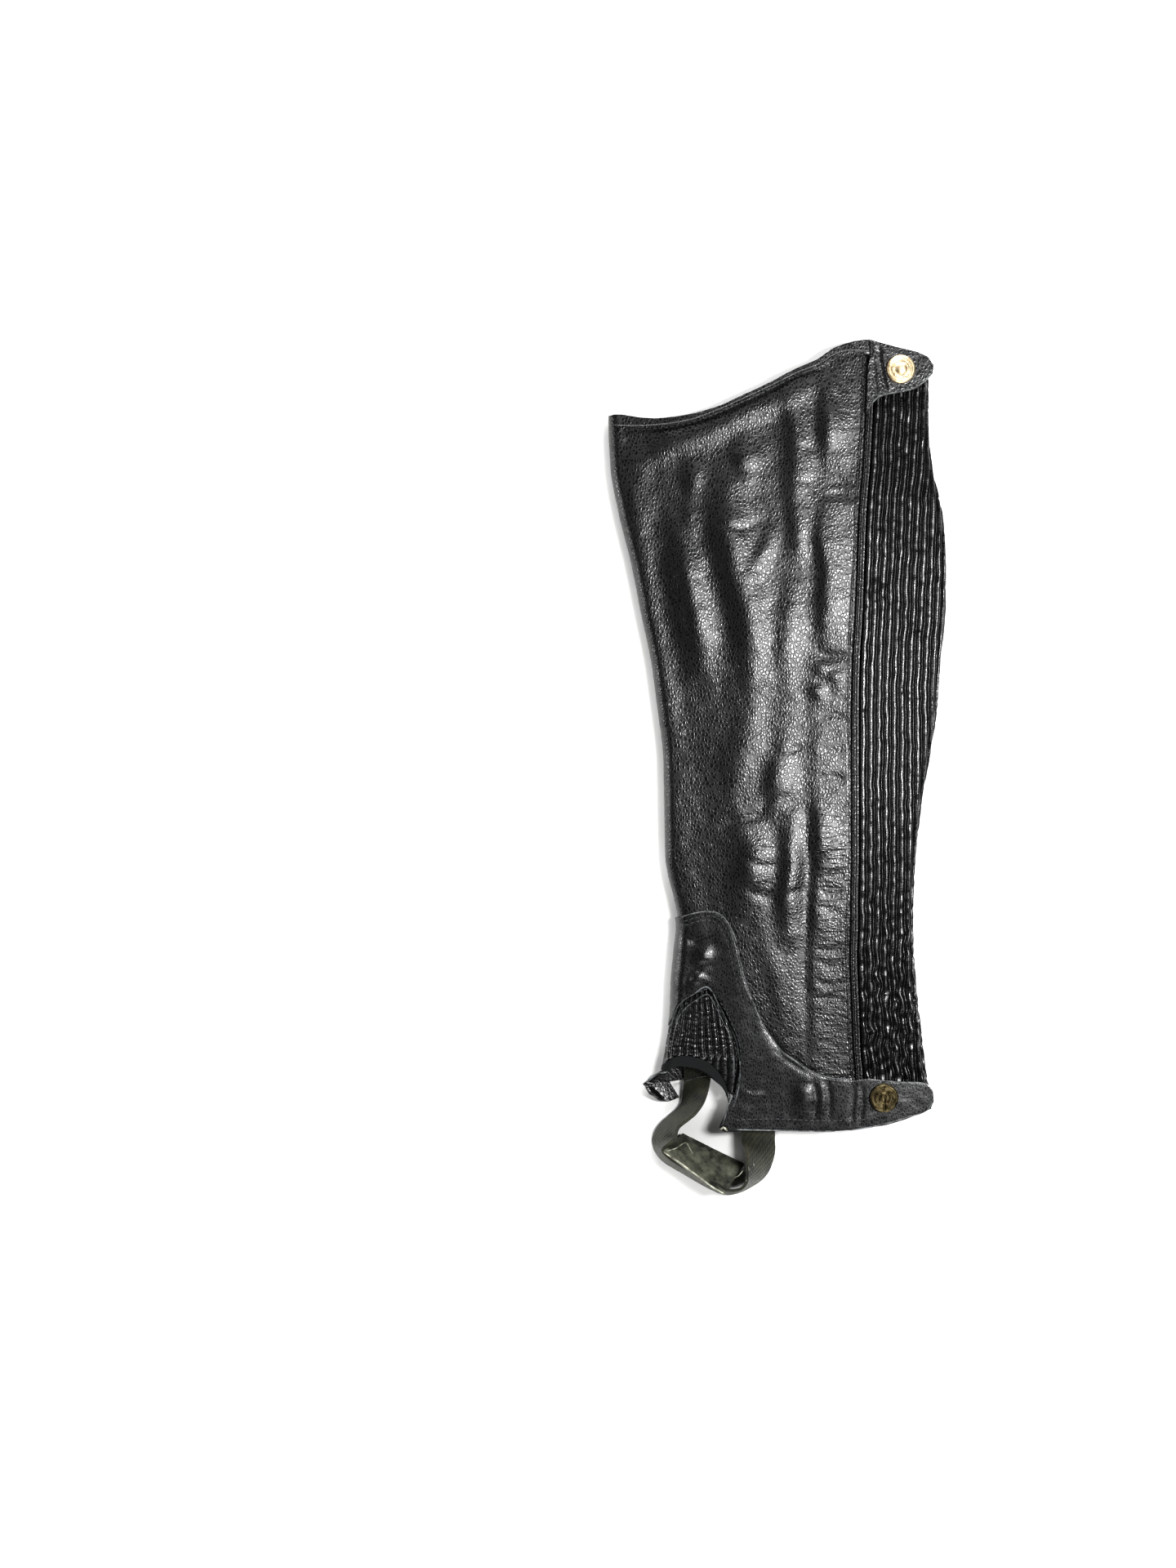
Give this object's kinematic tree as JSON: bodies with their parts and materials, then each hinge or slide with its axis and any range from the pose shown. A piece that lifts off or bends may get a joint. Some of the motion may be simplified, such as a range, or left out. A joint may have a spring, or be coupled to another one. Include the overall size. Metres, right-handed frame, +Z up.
{
  "type": "half chap",
  "caption": "Leather half chap laid flat, zipped and snapped, with a ribbed elastic calf panel, instep gusset and foot strap.",
  "frame": {"origin": "middle of the footprint, on the surface that the half chap lies on", "axes": "+X from the shin fold to the calf fold, +Y from the foot end to the top edge, +Z up"},
  "size_m": [0.178, 0.4518, 0.0182],
  "materials": {
    "black_leather": "black pebbled grain leather, semi-gloss",
    "black_webbing": "worn olive-black woven webbing",
    "black_tape": "matt black woven tape",
    "worn_vinyl": "worn grey-olive coated pad with pale edges",
    "brass": "aged brass"
  },
  "bodies": {
    "root": {"main_panel": "black_leather", "shirred_panel": "black_leather", "zip_tape": "black_tape", "top_binding": "black_leather", "top_tab": "black_leather", "foot_overlay": "black_leather", "gusset": "black_leather", "gusset_binding": "black_tape", "foot_strap": "black_webbing", "strap_pad": "worn_vinyl", "snap_cap_top": "brass", "snap_cap_foot": "brass"}
  },
  "joints": []
}
